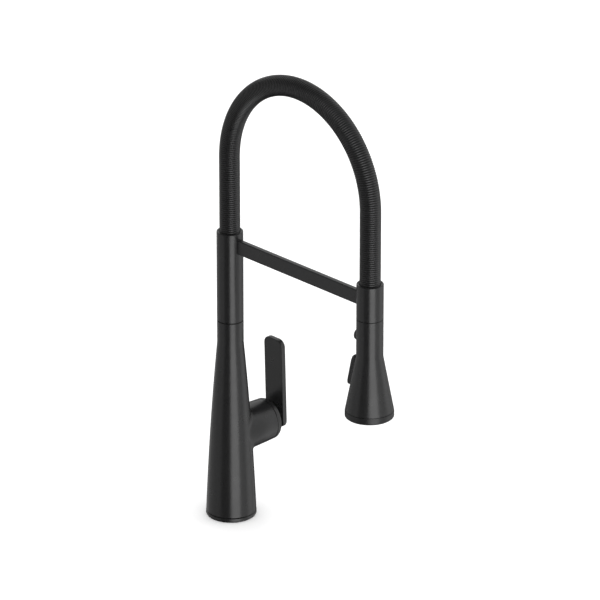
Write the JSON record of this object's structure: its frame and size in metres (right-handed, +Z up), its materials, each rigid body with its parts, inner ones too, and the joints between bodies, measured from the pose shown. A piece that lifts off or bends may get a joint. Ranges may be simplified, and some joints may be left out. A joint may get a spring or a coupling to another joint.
{
  "type": "kitchen faucet",
  "caption": "Single-handle kitchen faucet with a flared column, a self-supporting ribbed hose arch, a docking arm and a pull-down spray wand with a pause button and a rocker.",
  "frame": {"origin": "centre of the shank thread in the deck plane, on the column's axis", "axes": "+Z up along the column, +X from the column towards the spray wand, +Y towards the side lever"},
  "size_m": [0.2593, 0.0952, 0.5192],
  "materials": {
    "satin_black": "satin",
    "black_rubber": "matte",
    "black_plastic": "matte",
    "brass": "machined",
    "copper": "drawn copper",
    "steel": "plain",
    "white_plastic": "moulded",
    "grey_plastic": "moulded",
    "ceramic": "lapped"
  },
  "bodies": {
    "base": {"base_gasket": "black_rubber", "base_ring": "satin_black", "base_insert": "brass", "body_shell": "satin_black", "hub_shell": "satin_black", "valve_body": "brass", "riser_tube": "copper", "swivel_post": "brass", "swivel_washer": "black_plastic", "swivel_orings": "black_rubber", "retaining_clip": "steel", "cartridge_housing": "grey_plastic", "cartridge_seals": "black_rubber", "fixed_disc": "ceramic", "lock_ring": "brass", "cartridge_cap": "satin_black"},
    "rotor": {"cartridge_rotor": "white_plastic", "lever_pin": "steel"},
    "disc": {"moving_disc": "ceramic", "disc_carrier": "white_plastic"},
    "lever": {"lever_stem": "steel", "lever_dome": "satin_black", "paddle": "satin_black", "set_screw": "steel"},
    "spout": {"upper_column": "satin_black", "column_bush": "black_plastic", "thrust_washer": "white_plastic", "arm_bar": "satin_black", "dock_ring": "satin_black", "dock_liner": "black_plastic", "dock_magnet": "steel", "hose_ferrule_column": "steel", "hose_core": "white_plastic", "hose_cover": "black_rubber"},
    "hose_end": {"hose_ferrule_wand": "steel", "swivel_nipple": "brass", "nipple_oring": "black_rubber"},
    "wand": {"wand_shell": "satin_black", "keeper_ring": "steel", "wand_core": "grey_plastic", "rocker_pin": "steel", "nozzle_ring": "black_plastic", "spray_plate": "grey_plastic", "nozzle_tips": "black_rubber", "aerator": "grey_plastic", "face_screws": "steel", "face_seal": "black_rubber", "button_spring": "steel"},
    "rocker": {"rocker": "satin_black"},
    "spool": {"diverter_spool": "white_plastic", "spool_orings": "black_rubber"},
    "button": {"pause_button": "satin_black", "pause_stem": "steel"}
  },
  "joints": [
    {"name": "spout_swivel", "type": "hinge", "parent": "base", "child": "spout", "pos_m": [0, 0, 0.2224], "axis": [0, 0, 1], "range_deg": [-180, 180]},
    {"name": "handle_turn", "type": "hinge", "parent": "base", "child": "rotor", "pos_m": [0, 0.042, 0.0928], "axis": [0, 1, 0], "range_deg": [-45, 45]},
    {"name": "handle_lift", "type": "hinge", "parent": "rotor", "child": "lever", "pos_m": [0, 0.042, 0.0928], "axis": [-1, 0, 0], "range_deg": [0, 20]},
    {"name": "disc_slide", "type": "slide", "parent": "rotor", "child": "disc", "axis": [0, 0, 1], "range_m": [0, 0.0052]},
    {"name": "spray_pull", "type": "slide", "parent": "spout", "child": "hose_end", "axis": [0, 0, -1], "range_m": [0, 0.06], "deforming": ["hose_cover", "hose_core"]},
    {"name": "wand_spin", "type": "hinge", "parent": "hose_end", "child": "wand", "pos_m": [0.2074, 0, 0.275], "axis": [0, 0, 1], "continuous": true},
    {"name": "rocker_tilt", "type": "hinge", "parent": "wand", "child": "rocker", "pos_m": [0.1959, 0, 0.229], "axis": [0, -1, 0], "range_deg": [0, 6]},
    {"name": "diverter_slide", "type": "slide", "parent": "wand", "child": "spool", "axis": [0, 0, 1], "range_m": [0, 0.00095]},
    {"name": "pause_press", "type": "slide", "parent": "wand", "child": "button", "axis": [1, 0, 0], "range_m": [0, 0.0012], "stiffness_N_per_m": 800, "springref_m": -0.001, "deforming": ["button_spring"]}
  ],
  "couplings": [
    {"joint": "disc_slide", "follows": "handle_lift", "m_per_rad": 0.0147},
    {"joint": "diverter_slide", "follows": "rocker_tilt", "m_per_rad": 0.0085}
  ]
}
